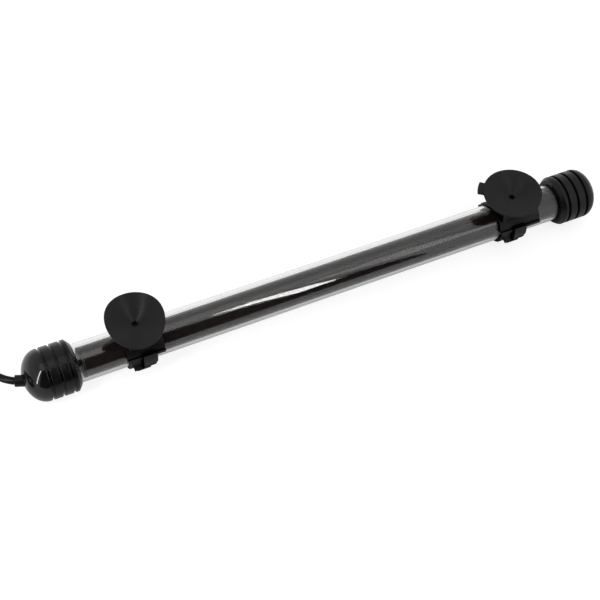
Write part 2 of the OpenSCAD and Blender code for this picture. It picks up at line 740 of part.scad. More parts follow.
// The saddle: a band over the tube, the pad with the cup's slot, the latch hook and two hinge knuckles
module saddle(front) {
  pad_foot = polar(clip_r - overlap, pad_foot_angle);
  pad_side = [pad_half_w, pad_top - pad_bevel];
  pad_edge = [pad_half_w - pad_bevel, pad_top];
  flip = function (p) [-p[0], p[1]];
  difference() {
    union() {
      across(-saddle_back, front) {
        sector(clip_bore, clip_r, saddle_rear_angle, saddle_front_angle);
        sector(clip_r - overlap, clip_r + ledge_t, saddle_front_angle - ledge_angle, saddle_front_angle);
      }
      across(-pad_back, pad_front) difference() {
        polygon([flip(pad_foot), pad_foot, pad_side, pad_edge, flip(pad_edge), flip(pad_side)]);
        circle(clip_bore + overlap);
      }
      across(latch_split + latch_gap, jaw_front) {
        sector(clip_r - overlap, clip_r + ledge_t, saddle_front_angle - hook_root_angle, saddle_front_angle);
        difference() {
          union() {
            sector(clip_r - overlap, hook_out, saddle_front_angle - hook_root_angle + 2, hook_angle);
            translate(polar(hook_out + bead_proud - bead_r, hook_angle)) circle(bead_r);
          }
          at_hinge(swing_r);
        }
      }
      for (span = [[-jaw_back, -jaw_knuckle_back - free], [jaw_knuckle_front + free, jaw_front]])
        across(span[0], span[1]) {
          at_hinge(knuckle_d / 2);
          sector(clip_bore + overlap, hinge_reach - web_drop, saddle_rear_angle + 1, web_angle);
        }
    }
    hook_corner();
    across(-jaw_knuckle_back - free, jaw_knuckle_front + free) at_hinge(hinge_room);
    across(-jaw_back - 1, jaw_front + 1) at_hinge(hinge_pin_d / 2);
    for (cut = [[neck_d, slot_floor + head_t / 2, pad_top + 1], [head_d + free, slot_floor, slot_roof]])
      translate([0, 0, cut[1]]) {
        cylinder(h = cut[2] - cut[1], d = cut[0] + 2 * fit);
        translate([0, -cut[0] / 2 - fit, 0]) cube([pad_front + 1, cut[0] + 2 * fit, cut[2] - cut[1]]);
      }
  }
}

// The jaw: a half ring under the tube with a flared finger tongue, its lip and the middle knuckle
module jaw() {
  tongue_from = -6.8;
  tongue_out = lip_reach - overlap / 3;
  lip_from = -4.7;
  lip_to = 5.2;
  difference() {
    union() {
      across(-jaw_back, jaw_front) sector(clip_bore, clip_r, jaw_front_angle, jaw_rear_angle);
      across(tongue_from, latch_split) difference() {
        sector(clip_r - overlap, tongue_out, tongue_angle, lip_angle + 1);
        translate(polar(clip_r - fillet_dip + fillet_r, fillet_angle)) circle(fillet_r);
      }
      across(lip_from, lip_to) sector(clip_r - overlap, lip_reach, lip_angle, lip_angle_low);
      across(-jaw_knuckle_back, jaw_knuckle_front) {
        at_hinge(knuckle_d / 2);
        sector(clip_bore + overlap, hinge_reach - web_drop, jaw_web_angle, jaw_rear_angle - 1);
      }
    }
    for (span = [[-jaw_back - 1, -jaw_knuckle_back], [jaw_knuckle_front, jaw_front + 1]])
      across(span[0], span[1]) at_hinge(hinge_room);
    across(-jaw_back - 1, jaw_front + 1) at_hinge(hinge_pin_d / 2 + fit);
  }
}

module hinge_pin() {
  across(-jaw_back, jaw_front) at_hinge(hinge_pin_d / 2);
}

// The suction cup: button head, neck, hub and the hollow cone with its flat rim
module cup() {
  rim_r = cup_d / 2;
  hub_r = hub_d / 2;
  head_z = slot_floor + 2 * fit;
  head_top = head_z + head_t;
  skirt_t = 0.9;
  hub_drop = 3.5;
  hub_flare = 3;
  hole_end = hollow_z - cup_hole_depth;
  rotate_extrude() polygon([[0, head_z], [head_d / 2, head_z], [head_d / 2, head_top], [neck_d / 2, head_top],
    [neck_d / 2, cup_hub_z], [hub_r, cup_hub_z], [hub_r, hollow_z - hub_drop],
    [hub_r + hub_flare, hollow_z - skirt_t], [rim_r, cup_rise - rim_edge], [rim_r, cup_rise],
    [rim_r - rim_land, cup_rise], [cup_hole_d / 2, hollow_z], [cup_hole_d / 2, hole_end], [0, hole_end]]);
}
module pull_tab() {
  rotate([0, 0, tab_angle]) translate([0, 0, tab_top - tab_t]) linear_extrude(tab_t) intersection() {
    circle(tab_reach);
    translate([cup_d / 2 - tab_root, -tab_w / 2]) square([tab_reach, tab_w]);
  }
}

module left_saddle() color(clip_black) at_clip(-1) saddle(left_saddle_front);
module left_jaw() color(clip_black) at_clip(-1) jaw();
module left_hinge_pin() color(pin_steel) at_clip(-1) hinge_pin();
module left_cup() color(cup_black) at_clip(-1) cup();
module right_saddle() color(clip_black) at_clip(1) saddle(right_saddle_front);
module right_jaw() color(clip_black) at_clip(1) jaw();
module right_hinge_pin() color(pin_steel) at_clip(1) hinge_pin();
module right_cup() {
  color(cup_black) at_clip(1) translate([right_cup_out, 0, 0]) {
    cup();
    pull_tab();
  }
}

glass_tube();
cable_cap();
closed_cap();
o_ring_cable();
o_ring_closed();
bung_cable();
bung_closed();
inner_sleeve();
sleeve_plug_cable();
sleeve_plug_closed();
ceramic_core();
heating_coil();
core_spacer_cable();
core_spacer_closed();
end_link();
return_wire();
thermostat_base();
bimetal_blade();
contact_strip();
contact_screw();
thermal_fuse();
lead_wires();
cable_gland();
cord_lead();
cord_hank();
cord_tail();
cord_tie();
plug_body();
plug_pins();
left_saddle();
left_jaw();
left_hinge_pin();
left_cup();
right_saddle();
right_jaw();
right_hinge_pin();
right_cup();
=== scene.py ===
"""Looks of a submersible aquarium heater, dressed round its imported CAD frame.

All sizes are in metres and all places in the row frame: X runs along the glass tube with the mains
lead at -X, the suction cups face +Z, and the end caps rest on z = 0.
"""

import logging
import math
from dataclasses import dataclass, field
from enum import Enum

import bmesh
import bpy
from mathutils import Matrix, Vector


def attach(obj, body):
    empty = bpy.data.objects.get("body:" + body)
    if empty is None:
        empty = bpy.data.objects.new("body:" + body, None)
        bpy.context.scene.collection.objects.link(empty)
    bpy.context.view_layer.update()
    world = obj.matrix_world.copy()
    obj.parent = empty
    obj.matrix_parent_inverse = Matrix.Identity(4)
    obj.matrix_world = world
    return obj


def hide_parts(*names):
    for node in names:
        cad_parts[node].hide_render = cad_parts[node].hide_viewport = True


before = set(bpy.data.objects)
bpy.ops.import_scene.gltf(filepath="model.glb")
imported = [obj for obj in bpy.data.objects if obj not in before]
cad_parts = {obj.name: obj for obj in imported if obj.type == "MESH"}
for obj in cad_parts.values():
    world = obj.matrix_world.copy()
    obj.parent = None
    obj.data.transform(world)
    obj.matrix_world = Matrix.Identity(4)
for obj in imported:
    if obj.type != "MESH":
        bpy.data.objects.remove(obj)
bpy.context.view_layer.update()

LOG = logging.getLogger("heater")
MM = 0.001

# A radius below this lies on the axis, and points closer than the next are one point.
ON_AXIS = 1e-7
WELD = 0.001 * MM
# Distance from a corner to the ring that holds its shading, and an arc's largest share of a run.
BRACE = 0.25 * MM
ARC_SHARE = 0.48
# Faces within this angle, in degrees, are one plane.
FLAT_ANGLE = 0.4
# Nearly all values of a noise texture lie between these.
NOISE_LOW, NOISE_HIGH = 0.3, 0.7
# Painted shade in narrow gaps: the occlusion test's rays, their length, and the openness at which a
# gap counts as closed.
GAP_SAMPLES = 8
GAP_REACH = 20 * MM
GAP_CLOSED = 0.66
# Fineness of the colour and gloss patches.
MOTTLE_DETAIL = 4.0
PATCH_DETAIL = 5.0
PATCHES_PER_MOTTLE = 2.3
# Turns the stretched gloss of turned rubber across its rings.
QUARTER_TURN = 0.25

Point = tuple[float, float, float]
Colour = tuple[float, float, float]
Outline = list[tuple[float, float]]


class Side(Enum):
    """The two clips and cups, by the end of the tube that they sit near."""

    LEFT = "left"
    RIGHT = "right"


class Grain(Enum):
    """The fine relief that a finish carries."""

    MOULDED = "moulded"
    RINGS = "rings"
    DRAWN = "drawn"
    LENGTHWISE = "lengthwise"
    FIRED = "fired"


class Tree:
    """A node tree under construction, with short calls for the nodes that the finishes share."""

    def __init__(self, owner: bpy.types.Material | bpy.types.World) -> None:
        """Empties the owner's node tree and keeps it.

        Args:
            owner: The material or world whose nodes are made.
        """
        owner.use_nodes = True
        self.nodes = owner.node_tree.nodes
        self.links = owner.node_tree.links
        self.nodes.clear()

    def add(self, kind: str, **settings: object) -> bpy.types.Node:
        """Adds one node.

        Args:
            kind: The node's type name without its "ShaderNode" start.
            settings: Properties to set on the node.

        Returns:
            The new node.
        """
        node = self.nodes.new("ShaderNode" + kind)
        for name, value in settings.items():
            setattr(node, name, value)
        return node

    def join(self, source: bpy.types.NodeSocket, target: bpy.types.NodeSocket) -> None:
        """Links an output to an input."""
        self.links.new(source, target)

    def noise(self, where: bpy.types.NodeSocket, scale: float, detail: float) -> bpy.types.NodeSocket:
        """Adds a noise texture.

        Args:
            where: The coordinates that it follows.
            scale: Cells per metre.
            detail: How many finer octaves it has.

        Returns:
            The noise's value, about 0.5 on average.
        """
        node = self.add("TexNoise")
        node.inputs["Scale"].default_value = scale
        node.inputs["Detail"].default_value = detail
        self.join(where, node.inputs["Vector"])
        return node.outputs["Fac"]

    def spread(self, value: bpy.types.NodeSocket, low: float, high: float) -> bpy.types.NodeSocket:
        """Maps a noise value to a range.

        Args:
            value: The noise.
            low: What its low values become.
            high: What its high values become.

        Returns:
            The mapped value.
        """
        node = self.add("MapRange")
        node.inputs["From Min"].default_value = NOISE_LOW
        node.inputs["From Max"].default_value = NOISE_HIGH
        node.inputs["To Min"].default_value = low
        node.inputs["To Max"].default_value = high
        self.join(value, node.inputs["Value"])
        return node.outputs["Result"]

    def blend(self, share: bpy.types.NodeSocket, low: Colour, high: Colour) -> bpy.types.NodeSocket:
        """Mixes two colours by a share.

        Args:
            share: 0 for low, 1 for high.
            low: The colour at 0.
            high: The colour at 1.

        Returns:
            The mixed colour.
        """
        node = self.add("Mix", data_type="RGBA")
        colour_a, colour_b = (s for s in node.inputs if s.type == "RGBA")
        colour_a.default_value = (*low, 1.0)
        colour_b.default_value = (*high, 1.0)
        self.join(share, node.inputs["Factor"])
        return next(s for s in node.outputs if s.type == "RGBA")


@dataclass(frozen=True)
class Finish:
    """One surface finish: a colour with mottling, an uneven gloss, a fine relief and, where set,
    painted shade in narrow gaps.

    Attributes:
        name: The material's name.
        slot: The record's material slot that it stands for; not used.
        colour: Base colour, linear.
        roughness: Middle of the uneven roughness.
        patchiness: How far the roughness strays from its middle.
        mottle: How far the colour strays from its middle, as a share.
        mottle_size: Size of the mottling.
        grain: The kind of fine relief.
        grain_size: Size of the relief's cells or rings.
        grain_depth: Height of the relief.
        metallic: 1 for metal.
        specular: Strength of the clear reflection.
        gap_shade: How far the painted shade in narrow gaps takes the gloss down, as a share.
        turned: How far fine turned rings draw the gloss out across them.
    """

    name: str
    slot: str
    colour: Colour
    roughness: float
    patchiness: float = 0.05
    mottle: float = 0.15
    mottle_size: float = 6 * MM
    grain: Grain = Grain.MOULDED
    grain_size: float = 0.5 * MM
    grain_depth: float = 0.004 * MM
    metallic: float = 0.0
    specular: float = 0.5
    gap_shade: float = 0.0
    turned: float = 0.0

    def paint_gap_shade(self, tree: Tree, colour: bpy.types.NodeSocket, shader: bpy.types.Node) -> None:
        """Paints shade into narrow gaps: darkens the colour and takes the gloss down where things
        stand close over the surface.

        Args:
            tree: The material's tree.
            colour: The colour in the open.
            shader: The shader that takes both.
        """
        room = tree.add("AmbientOcclusion", samples=GAP_SAMPLES)
        room.inputs["Distance"].default_value = GAP_REACH
        tree.join(colour, room.inputs["Color"])
        tree.join(room.outputs["Color"], shader.inputs["Base Color"])
        gloss = tree.add("MapRange")
        gloss.inputs["From Min"].default_value = GAP_CLOSED
        gloss.inputs["From Max"].default_value = 1.0
        gloss.inputs["To Min"].default_value = self.specular * (1 - self.gap_shade)
        gloss.inputs["To Max"].default_value = self.specular
        tree.join(room.outputs["AO"], gloss.inputs["Value"])
        tree.join(gloss.outputs["Result"], shader.inputs["Specular IOR Level"])

    def relief(self, tree: Tree, where: bpy.types.NodeSocket) -> bpy.types.NodeSocket:
        """Makes the height of the fine relief.

        Args:
            tree: The material's tree.
            where: Object coordinates.

        Returns:
            The height, from 0 to 1.
        """
        if self.grain is Grain.RINGS:
            wave = tree.add("TexWave", wave_type="RINGS", rings_direction="Z")
            wave.inputs["Scale"].default_value = math.pi / 10 / self.grain_size
            wave.inputs["Distortion"].default_value = 0.6
            wave.inputs["Detail"].default_value = 2.0
            tree.join(where, wave.inputs["Vector"])
            return wave.outputs["Fac"]
        squeezes = {Grain.DRAWN: (1.0, 1.0, 0.03), Grain.LENGTHWISE: (0.03, 1.0, 1.0)}
        squeeze = squeezes.get(self.grain)
        if squeeze is not None:
            stretch = tree.add("Mapping")
            stretch.inputs["Scale"].default_value = squeeze
            tree.join(where, stretch.inputs["Vector"])
            where = stretch.outputs["Vector"]
        detail = 6.0 if self.grain is Grain.FIRED else 3.0
        return tree.noise(where, 1 / self.grain_size, detail)

    def shade(self, shader: bpy.types.Node) -> None:
        """Sets the sockets that are the same all over the surface."""
        shader.inputs["Metallic"].default_value = self.metallic
        shader.inputs["Specular IOR Level"].default_value = self.specular

    def material(self) -> bpy.types.Material:
        """Makes the node material on the first call and finds it again later.

        Returns:
            The material.
        """
        made = bpy.data.materials.get(self.name)
        if made is not None:
            return made
        made = bpy.data.materials.new(self.name)
        tree = Tree(made)
        where = tree.add("TexCoord").outputs["Object"]
        shader = tree.add("BsdfPrincipled")
        self.shade(shader)
        mottling = tree.spread(tree.noise(where, 1 / self.mottle_size, MOTTLE_DETAIL), 0.0, 1.0)
        low = tuple(c * (1 - self.mottle) for c in self.colour)
        high = tuple(min(1.0, c * (1 + self.mottle)) for c in self.colour)
        colour = tree.blend(mottling, low, high)
        # Painted shade: an occlusion test darkens the colour and the gloss in narrow gaps.
        if self.gap_shade > 0:
            self.paint_gap_shade(tree, colour, shader)
        else:
            tree.join(colour, shader.inputs["Base Color"])
        if self.turned > 0:
            shader.inputs["Anisotropic"].default_value = self.turned
            shader.inputs["Anisotropic Rotation"].default_value = QUARTER_TURN
            around = tree.add("Tangent", direction_type="RADIAL", axis="Z")
            tree.join(around.outputs[0], shader.inputs["Tangent"])
        patches = tree.noise(where, PATCHES_PER_MOTTLE / self.mottle_size, PATCH_DETAIL)
        glossy = max(0.0, self.roughness - self.patchiness)
        rough = tree.spread(patches, glossy, self.roughness + self.patchiness)
        tree.join(rough, shader.inputs["Roughness"])
        bump = tree.add("Bump")
        bump.inputs["Distance"].default_value = self.grain_depth
        tree.join(self.relief(tree, where), bump.inputs["Height"])
        tree.join(bump.outputs["Normal"], shader.inputs["Normal"])
        tree.join(shader.outputs["BSDF"], tree.add("OutputMaterial").inputs["Surface"])
        return made


@dataclass(frozen=True)
class GlassFinish(Finish):
    """Clear drawn glass, with the long faint waves of its drawing.

    Attributes:
        index: Index of refraction.
    """

    index: float = 1.47

    def shade(self, shader: bpy.types.Node) -> None:
        """Sets the sockets that are the same all over the glass."""
        super().shade(shader)
        shader.inputs["Transmission Weight"].default_value = 1.0
        shader.inputs["IOR"].default_value = self.index


GLASS = GlassFinish(
    "clear_tube_glass", "clear_glass", (0.972, 0.972, 0.97), 0.008, patchiness=0.006, mottle=0.01,
    mottle_size=20 * MM, grain=Grain.DRAWN, grain_size=4 * MM, grain_depth=0.0015 * MM,
)
SLEEVE = Finish(
    "sleeve_black_brown", "sleeve_black", (0.0085, 0.006, 0.0055), 0.07, patchiness=0.02, mottle=0.25,
    mottle_size=18 * MM, grain=Grain.DRAWN, grain_size=3 * MM, grain_depth=0.002 * MM,
)
CAP_GLOSS = Finish(
    "cap_gloss_black", "cap_plastic", (0.004, 0.004, 0.0043), 0.1, patchiness=0.03, mottle=0.3,
    grain_size=0.9 * MM, grain_depth=0.003 * MM,
)
# The grip bands carry light painted shade in their grooves.
CAP_GRIP = Finish(
    "cap_grip_black", "cap_plastic", (0.004, 0.004, 0.0043), 0.24, patchiness=0.08, mottle=0.3,
    grain_size=0.8 * MM, grain_depth=0.008 * MM, specular=0.33, gap_shade=0.2,
)
# The satin cap carries strong painted shade in its grooves and at its mouth.
CAP_SATIN = Finish(
    "cap_satin_black", "cap_plastic", (0.005, 0.005, 0.0053), 0.34, patchiness=0.06, mottle=0.3,
    grain_size=0.5 * MM, grain_depth=0.006 * MM, specular=0.33, gap_shade=0.8,
)
SEAL = Finish(
    "seal_black", "seal_rubber", (0.004, 0.004, 0.004), 0.34, grain_size=0.4 * MM, specular=0.25,
)
SLEEVE_PLUG = Finish("sleeve_plug_black", "sleeve_plug", (0.01, 0.01, 0.01), 0.4)
CERAMIC = Finish(
    "core_cream", "core_ceramic", (0.72, 0.69, 0.6), 0.75, mottle=0.06, grain=Grain.FIRED,
    grain_size=0.8 * MM, grain_depth=0.02 * MM,
)
COIL_WIRE = Finish("coil_wire_dull", "resistance_wire", (0.34, 0.31, 0.28), 0.35, metallic=1.0)
BRASS = Finish("brass_yellow", "contact_brass", (0.6, 0.42, 0.16), 0.3, metallic=1.0)
INSULATION = Finish("insulation_brown", "wire_insulation", (0.23, 0.1, 0.05), 0.5)
LAMINATE = Finish("laminate_brown", "base_laminate", (0.28, 0.16, 0.07), 0.55, grain=Grain.LENGTHWISE)
BIMETAL = Finish("bimetal_strip", "bimetal", (0.5, 0.48, 0.44), 0.32, metallic=1.0)
STEEL = Finish(
    "hinge_pin_steel", "pin_steel", (0.4, 0.4, 0.41), 0.3, metallic=1.0, grain=Grain.LENGTHWISE,
    grain_size=0.3 * MM,
)
SHEATH = Finish(
    "sheath_black", "lead_sheath", (0.004, 0.004, 0.0043), 0.3, patchiness=0.08, mottle=0.25,
    grain_size=0.7 * MM, grain_depth=0.006 * MM, specular=0.18,
)
TIE = Finish(
    "tie_black", "tie_band", (0.016, 0.016, 0.016), 0.6, grain_size=0.6 * MM, grain_depth=0.02 * MM,
)
PLUG = Finish(
    "plug_black", "plug_plastic", (0.011, 0.011, 0.0115), 0.45, grain_size=0.35 * MM,
    grain_depth=0.012 * MM,
)
NICKEL = Finish("prong_nickel", "prong_metal", (0.62, 0.6, 0.56), 0.2, mottle=0.05, metallic=1.0)
# The clip carries strong painted shade in narrow gaps, deepest under the cup.
CLIP = Finish(
    "clip_satin_black", "clip_plastic", (0.0042, 0.0042, 0.0045), 0.36, patchiness=0.07, mottle=0.25,
    grain_size=0.45 * MM, grain_depth=0.006 * MM, specular=0.36, gap_shade=0.95,
)
CUP = Finish(
    "cup_rubber_black", "cup_rubber", (0.0085, 0.0085, 0.0088), 0.42, patchiness=0.05, mottle=0.12,
    mottle_size=4 * MM, grain=Grain.RINGS, grain_size=0.22 * MM, grain_depth=0.006 * MM, specular=0.3,
    turned=0.85,
)


def rounded(corners: Outline, radii: list[float], steps: int = 4) -> Outline:
    """Rounds the corners of an open outline with arcs.

    Args:
        corners: The outline's corners.
        radii: One radius a corner; 0 keeps it sharp.
        steps: Segments in each arc.

    Returns:
        The outline with its arcs.
    """
    made: Outline = []
    for i, (corner, radius) in enumerate(zip(corners, radii)):
        if radius <= 0 or i in (0, len(corners) - 1):
            made.append(corner)
            continue
        here = Vector(corner)
        back = Vector(corners[i - 1]) - here
        ahead = Vector(corners[i + 1]) - here
        half = back.angle(ahead) / 2
        reach = min(radius / math.tan(half), ARC_SHARE * back.length, ARC_SHARE * ahead.length)
        start = here + back.normalized() * reach
        end = here + ahead.normalized() * reach
        for k in range(steps + 1):
            s = k / steps
            p = start * (1 - s) ** 2 + here * (2 * s * (1 - s)) + end * s ** 2
            made.append((p.x, p.y))
    return made


def braced(outline: Outline, step: float) -> Outline:
    """Adds points along an outline's long runs, so that their shading stays straight to the ends.

    Args:
        outline: The outline's points.
        step: The longest distance left between two points.

    Returns:
        The outline with points close to both ends of each long run off the axis, and along it.
    """
    shortest = 6 * BRACE
    made: Outline = []
    for here, after in zip(outline, outline[1:]):
        made.append(here)
        start, run = Vector(here), Vector(after) - Vector(here)
        if run.length < shortest or max(here[0], after[0]) < ON_AXIS:
            continue
        inner = run.length - 2 * BRACE
        pieces = max(1, math.ceil(inner / step))
        for k in range(pieces + 1):
            p = start + run * ((BRACE + inner * k / pieces) / run.length)
            made.append((p.x, p.y))
    return made + outline[-1:]


def lathe(name: str, outline: Outline, segments: int, step: float) -> bpy.types.Object:
    """Turns an outline about the local Z axis into a closed mesh.

    Args:
        name: The object's name.
        outline: (radius, height) points; a closed ring where it starts and ends off the axis.
        segments: Segments round the axis.
        step: The longest distance left between two of its rings.

    Returns:
        The new object, not yet placed.
    """
    outline = braced(outline, step)
    closed = outline[0][0] > ON_AXIS and outline[-1][0] > ON_AXIS
    mesh = bpy.data.meshes.new(name)
    form = bmesh.new()
    turns = [2 * math.pi * k / segments for k in range(segments)]
    rings = []
    for radius, height in outline:
        if radius < ON_AXIS:
            rings.append([form.verts.new((0.0, 0.0, height))])
            continue
        ring = [(radius * math.cos(a), radius * math.sin(a), height) for a in turns]
        rings.append([form.verts.new(place) for place in ring])
    pairs = list(zip(rings, rings[1:]))
    if closed:
        pairs.append((rings[-1], rings[0]))
    for low, high in pairs:
        for k in range(segments):
            after = (k + 1) % segments
            face = [low[k % len(low)], low[after % len(low)]]
            face += [high[after % len(high)], high[k % len(high)]]
            if len(low) + len(high) > 2:
                form.faces.new(list(dict.fromkeys(face)))
    bmesh.ops.recalc_face_normals(form, faces=form.faces)
    form.to_mesh(mesh)
    form.free()
    made = bpy.data.objects.new(name, mesh)
    bpy.context.scene.collection.objects.link(made)
    return made


def soften(piece: bpy.types.Object, angle: float) -> None:
    """Shades a piece smooth, with sharp edges where faces meet at more than an angle in degrees."""
    piece.data.polygons.foreach_set("use_smooth", [True] * len(piece.data.polygons))
    piece.data.set_sharp_from_angle(angle=math.radians(angle))


def along_tube(piece: bpy.types.Object, x: float, height: float, outward: int) -> None:
    """Lays a turned piece along the tube.

    Args:
        piece: A piece turned about its local Z.
        x: Where its local zero goes.
        height: Height of the tube's axis.
        outward: 1 where local +Z points to +X, -1 where it points to -X.
    """
    lie = Matrix.Rotation(outward * math.pi / 2, 4, "Y")
    piece.matrix_world = Matrix.Translation((x, 0.0, height)) @ lie


def settle(
    piece: bpy.types.Object, body: str, finish: Finish, stands_for: tuple[str, ...],
) -> bpy.types.Object:
    """Gives a new piece its finish, its body and the CAD nodes that it stands for.

    Args:
        piece: The new piece, in place.
        body: The CAD body that it moves with.
        finish: Its finish.
        stands_for: The CAD nodes that it replaces.

    Returns:
        The piece.
    """
    piece.data.materials.clear()
    piece.data.materials.append(finish.material())
    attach(piece, body)
    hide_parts(*stands_for)
    LOG.info("%s rides on %s and stands for %s", piece.name, body, ", ".join(stands_for))
    return piece


def dress(node: str, finish: Finish) -> bpy.types.Object:
    """Keeps a CAD node and gives it a finish.

    Args:
        node: The node's name.
        finish: Its finish.

    Returns:
        The node's object.
    """
    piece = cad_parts[node]
    piece.data.materials.clear()
    piece.data.materials.append(finish.material())
    LOG.info("%s keeps its CAD solid", node)
    return piece


def eased(node: str, name: str, width: float, sharp: float = 28.0) -> bpy.types.Object:
    """Rebuilds a CAD node's shape with its flat faces joined up and its hard edges eased.

    Args:
        node: The node that gives the shape.
        name: The new piece's name.
        width: Width of the eased edge.
        sharp: The angle, in degrees, above which an edge is a hard one.

    Returns:
        The new piece, in place.
    """
    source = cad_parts[node].data
    mesh = bpy.data.meshes.new(name)
    faces = [list(p.vertices) for p in source.polygons]
    mesh.from_pydata([v.co[:] for v in source.vertices], [], faces)
    form = bmesh.new()
    form.from_mesh(mesh)
    bmesh.ops.remove_doubles(form, verts=form.verts, dist=WELD)
    bmesh.ops.dissolve_limit(
        form, angle_limit=math.radians(FLAT_ANGLE), verts=form.verts, edges=form.edges,
    )
    bmesh.ops.recalc_face_normals(form, faces=form.faces)
    form.to_mesh(mesh)
    form.free()
    piece = bpy.data.objects.new(name, mesh)
    bpy.context.scene.collection.objects.link(piece)
    soften(piece, sharp)
    edge = piece.modifiers.new("eased_edges", "BEVEL")
    edge.limit_method = "ANGLE"
    edge.angle_limit = math.radians(sharp)
    edge.width = width
    edge.segments = 2
    edge.harden_normals = True
    return piece


@dataclass(frozen=True)
class StripLight:
    """A strip light.

    Attributes:
        name: Its name.
        start: Middle of one short edge.
        end: Middle of the other short edge.
        width: Its width.
        aim: The point that it faces.
        watts: Its power.
    """

    name: str
    start: Point
    end: Point
    width: float
    aim: Point
    watts: float


STRIP_LIGHTS = (
    StripLight(
        "front_strip", (0.234, -0.322, 1.142), (0.373, -0.956, 0.648), 0.07, (0.0, 0.0, 0.02), 1.5,
    ),
    StripLight(
        "side_strip", (0.455, -0.387, 1.188), (0.65, -0.924, 0.757), 0.2, (0.05, 0.0, 0.02), 0.35,
    ),
    StripLight(
        "left_strip", (-0.503, -0.138, 0.04), (-0.325, -0.043, 0.298), 0.018, (-0.22, 0.0, 0.02), 0.4,
    ),
)
DARK_CARDS: dict[str, list[Point]] = {
    "front_card": [(-1.6, -1.1, 0.02), (0.55, -1.1, 0.02), (0.55, -1.1, 6.0), (-1.6, -1.1, 6.0)],
    "back_card": [(-0.35, 0.404, 0.918), (0.22, 0.44, 0.9), (-0.35, 0.476, 0.882)],
}


@dataclass
class Studio:
    """The camera at the photograph's viewing angle, a pale floor and plain soft light.

    Attributes:
        eye: Where the camera stands.
        right: The picture's right in the row frame.
        down: The picture's down in the row frame.
        forward: The way the camera looks.
        lens: Focal length in millimetres.
        sensor: Width of the sensor in millimetres.
        sight: The nearest and the farthest that the camera sees.
        floor_half: Half the floor's side.
        floor_drop: How far the floor lies under the part.
        floor_colour: The floor's own colour.
        floor_glow: What brings the floor to white for the camera.
        floor_mirrored: The share of that glow in gloss and glass, in front of the tube and behind it.
        floor_change: Where along Y the first share starts to change, and where it becomes the second.
        card_colour: The dark cards' colour.
        room: (height of a direction, light from it), from the horizon to overhead.
    """

    eye: Point = (-0.34908, -0.44964, 0.91802)
    right: Point = (0.89947, -0.4204, 0.11928)
    down: Point = (-0.30937, -0.80538, -0.50563)
    forward: Point = (0.30863, 0.4179, -0.85447)
    lens: float = 86.705
    sensor: float = 36.0
    sight: tuple[float, float] = (0.01, 50.0)
    floor_half: float = 4.0
    floor_drop: float = 0.05 * MM
    floor_colour: Colour = (0.42, 0.42, 0.42)
    floor_glow: float = 0.79
    floor_mirrored: tuple[float, float] = (0.33, 0.8)
    floor_change: tuple[float, float] = (-5 * MM, 10 * MM)
    card_colour: Colour = (0.05, 0.05, 0.05)
    room: tuple[tuple[float, float], ...] = (
        (0.0, 0.66), (0.5, 0.66), (0.72, 0.54), (0.88, 0.56), (0.97, 1.0),
    )

    def camera(self) -> bpy.types.Object:
        """Makes the camera and sets it as the scene's.

        Returns:
            The camera object.
        """
        data = bpy.data.cameras.new("photo_camera")
        data.lens = self.lens
        data.sensor_width = self.sensor
        data.clip_start, data.clip_end = self.sight
        made = bpy.data.objects.new("photo_camera", data)
        up, back = [-c for c in self.down], [-c for c in self.forward]
        axes = Matrix((self.right, up, back)).transposed()
        made.matrix_world = Matrix.Translation(self.eye) @ axes.to_4x4()
        bpy.context.scene.collection.objects.link(made)
        bpy.context.scene.camera = made
        return made

    def seen_share(self, tree: Tree) -> bpy.types.NodeSocket:
        """Makes 1 for rays that show the floor straight, less for gloss and glass, 0 for the others.

        Args:
            tree: The tree that it is made in.

        Returns:
            The share.
        """
        path = tree.add("LightPath")
        mirrored = tree.add("Math", operation="ADD", use_clamp=True)
        tree.join(path.outputs["Is Glossy Ray"], mirrored.inputs[0])
        tree.join(path.outputs["Is Transmission Ray"], mirrored.inputs[1])
        place = tree.add("SeparateXYZ")
        tree.join(tree.add("NewGeometry").outputs["Position"], place.inputs[0])
        share = tree.add("MapRange")
        for end, y, amount in zip(("Min", "Max"), self.floor_change, self.floor_mirrored):
            share.inputs[f"From {end}"].default_value = y
            share.inputs[f"To {end}"].default_value = amount
        tree.join(place.outputs["Y"], share.inputs["Value"])
        total = tree.add("Math", operation="MULTIPLY_ADD")
        tree.join(mirrored.outputs[0], total.inputs[0])
        tree.join(share.outputs["Result"], total.inputs[1])
        tree.join(path.outputs["Is Camera Ray"], total.inputs[2])
        return total.outputs[0]

    def world(self) -> None:
        """Makes the room's even light, brightest overhead and white where it is seen straight."""
        world = bpy.data.worlds.new("even_light")
        tree = Tree(world)
        way = tree.add("SeparateXYZ")
        tree.join(tree.add("TexCoord").outputs["Generated"], way.inputs[0])
        levels = tree.add("ValToRGB")
        stops = levels.color_ramp.elements
        stops[0].position, stops[1].position = self.room[0][0], self.room[-1][0]
        made = [stops[0], *(stops.new(height) for height, _ in self.room[1:-1]), stops[-1]]
        for stop, (_, light) in zip(sorted(made, key=lambda e: e.position), self.room):
            stop.color = (light, light, light, 1.0)
        tree.join(way.outputs["Z"], levels.inputs["Fac"])
        sky = tree.add("Background")
        tree.join(levels.outputs["Color"], sky.inputs["Color"])
        white = tree.add("Background")
        white.inputs["Color"].default_value = (1.0, 1.0, 1.0, 1.0)
        seen = tree.add("MixShader")
        tree.join(tree.add("LightPath").outputs["Is Camera Ray"], seen.inputs[0])
        tree.join(sky.outputs[0], seen.inputs[1])
        tree.join(white.outputs[0], seen.inputs[2])
        tree.join(seen.outputs[0], tree.add("OutputWorld").inputs["Surface"])
        bpy.context.scene.world = world

    def plate(
        self, name: str, corners: list[Point], material: bpy.types.Material,
    ) -> bpy.types.Object:
        """Makes one flat stage piece.

        Args:
            name: Its name.
            corners: Its corners in order.
            material: What it is made of.

        Returns:
            The stage piece.
        """
        mesh = bpy.data.meshes.new(name)
        mesh.from_pydata(corners, [], [list(range(len(corners)))])
        mesh.materials.append(material)
        made = bpy.data.objects.new(name, mesh)
        bpy.context.scene.collection.objects.link(made)
        return made

